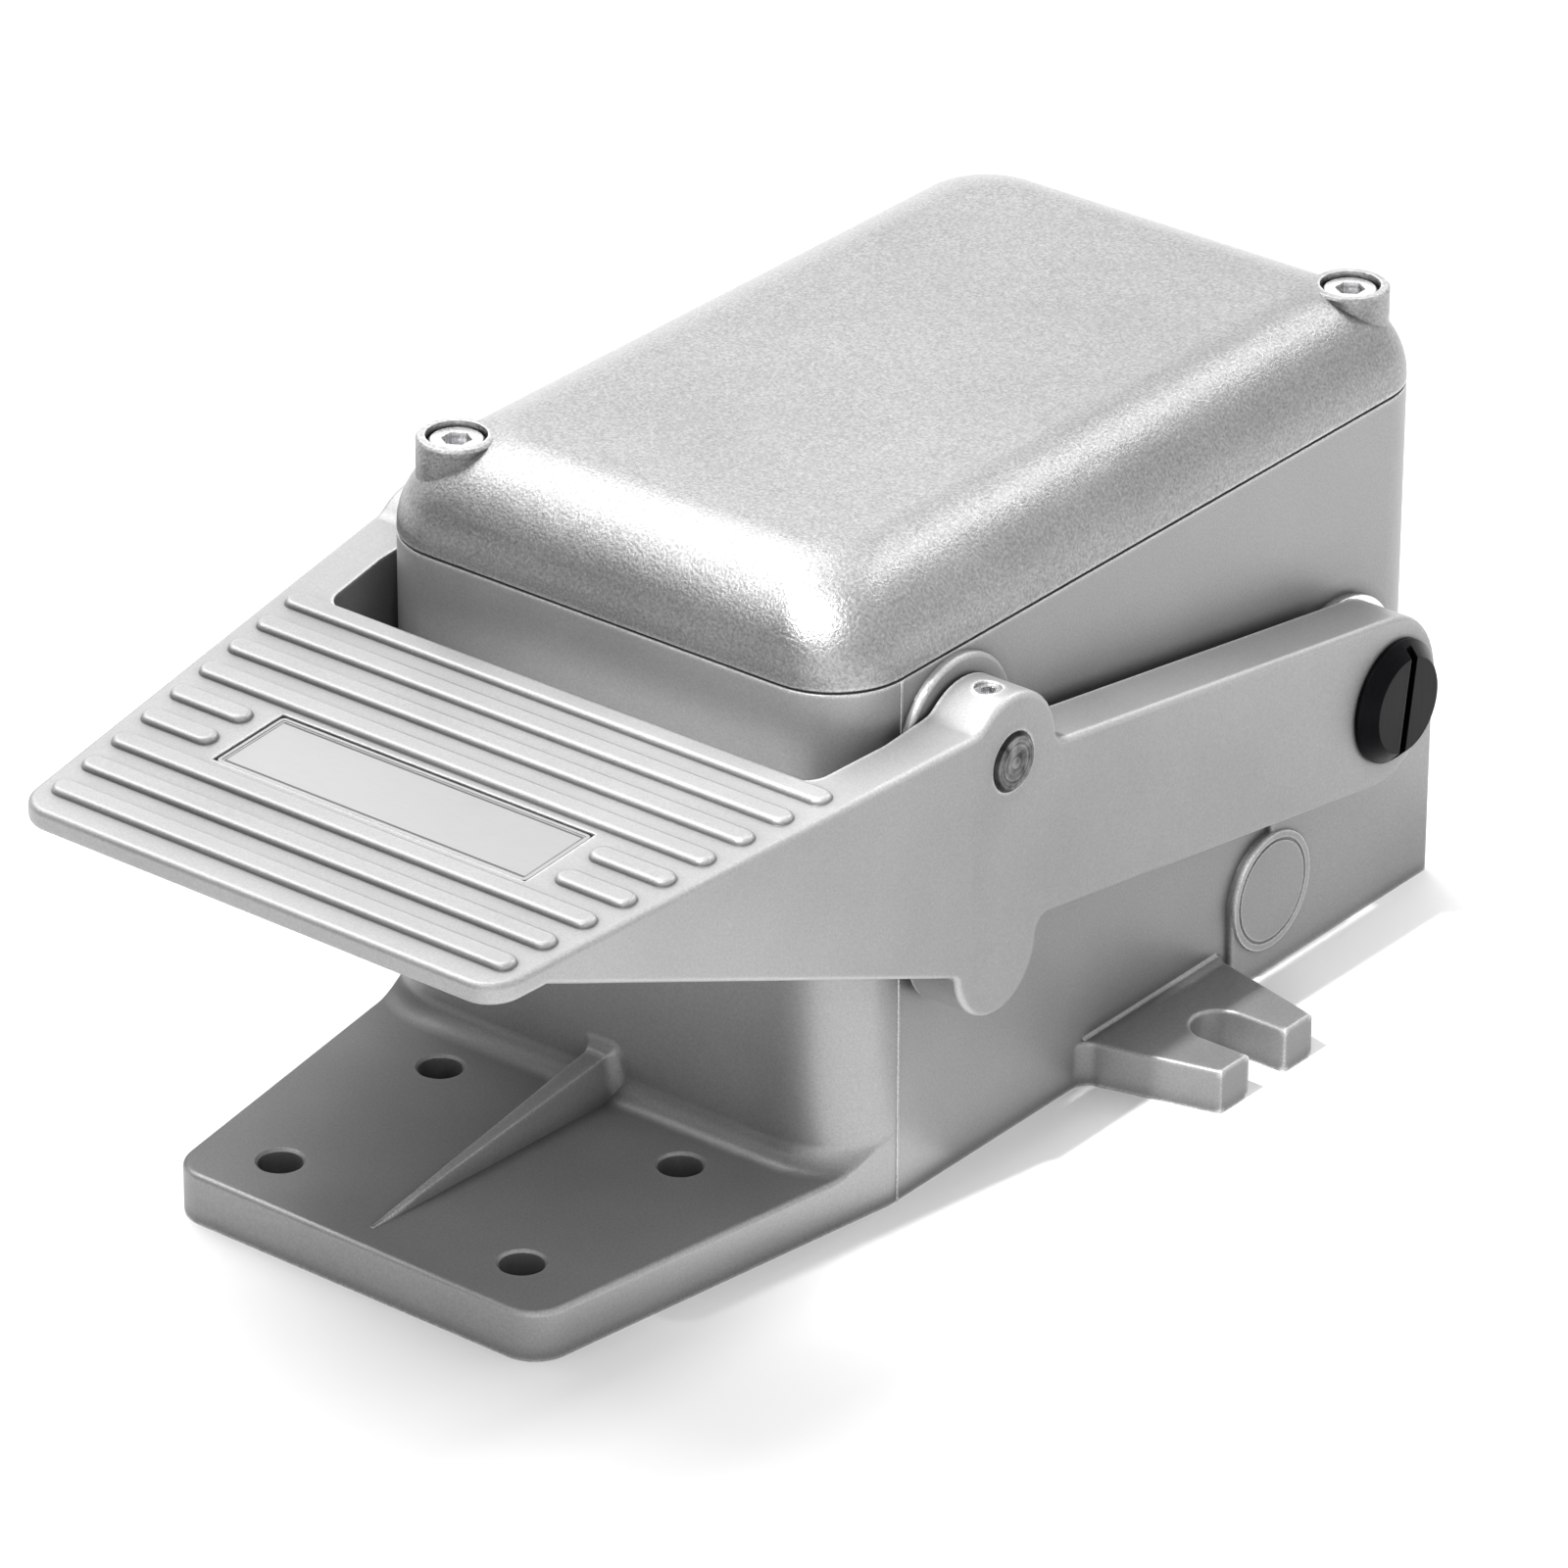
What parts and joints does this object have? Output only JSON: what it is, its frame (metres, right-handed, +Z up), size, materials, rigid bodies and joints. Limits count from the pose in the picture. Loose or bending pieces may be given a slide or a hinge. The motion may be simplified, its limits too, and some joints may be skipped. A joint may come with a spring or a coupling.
{
  "type": "foot pedal air valve",
  "caption": "Foot-operated air valve: ribbed pedal hinged at the rear of a die-cast box housing, with bolt-down flange, side fork lugs and threaded air ports at the back.",
  "frame": {"origin": "on the ground, in the middle of the four bolt holes of the front flange", "axes": "+Z up, +Y from the pedal's front edge to the rear face with the air ports, +X to the right of someone behind the front edge looking at the housing"},
  "size_m": [0.1316, 0.2173, 0.0992],
  "materials": {
    "cast_housing": "bead-blasted die casting",
    "cast_cover": "bead-blasted die casting",
    "cast_pedal": "bead-blasted die casting",
    "gasket": "matt sheet",
    "zinc_steel": "zinc plated",
    "plate": "satin sheet",
    "ground_steel": "ground",
    "seal": "moulded nitrile",
    "bronze": "sintered",
    "black_steel": "black oxide",
    "valve_aluminium": "machined",
    "spring_steel": "drawn wire"
  },
  "bodies": {
    "housing_body": {"housing": "cast_housing", "cover": "cast_cover", "cover_gasket": "gasket", "cover_screws": "zinc_steel", "pivot_screws": "black_steel", "valve_body": "valve_aluminium", "valve_screws": "zinc_steel", "gallery_plugs": "valve_aluminium", "guide_bush": "bronze", "port_seals": "seal", "return_spring": "spring_steel"},
    "pedal_body": {"pedal": "cast_pedal", "name_plate": "plate", "cross_shaft": "ground_steel", "shaft_set_screws": "zinc_steel", "shaft_seals": "seal", "pivot_bushes": "bronze"},
    "plunger_body": {"plunger": "ground_steel"},
    "spool_body": {"spool": "ground_steel", "spool_seals": "seal", "spring_plate": "ground_steel", "stem_circlip": "spring_steel", "override_spring": "spring_steel"}
  },
  "joints": [
    {"name": "pedal_hinge", "type": "hinge", "parent": "housing_body", "child": "pedal_body", "pos_m": [0, 0.1439, 0.0425], "axis": [1, 0, 0], "range_deg": [0, 8], "stiffness_Nm_per_rad": 43, "springref_deg": -2.66},
    {"name": "plunger_slide", "type": "slide", "parent": "housing_body", "child": "plunger_body", "axis": [0, 0, -1], "range_m": [0, 0.0133], "deforming": ["override_spring"]},
    {"name": "spool_slide", "type": "slide", "parent": "housing_body", "child": "spool_body", "axis": [0, 0, -1], "range_m": [0, 0.0052], "deforming": ["return_spring"]}
  ],
  "couplings": [
    {"joint": "plunger_slide", "follows": "pedal_hinge", "m_per_rad": 0.0946},
    {"joint": "spool_slide", "follows": "pedal_hinge", "m_per_rad": 0.0358}
  ]
}
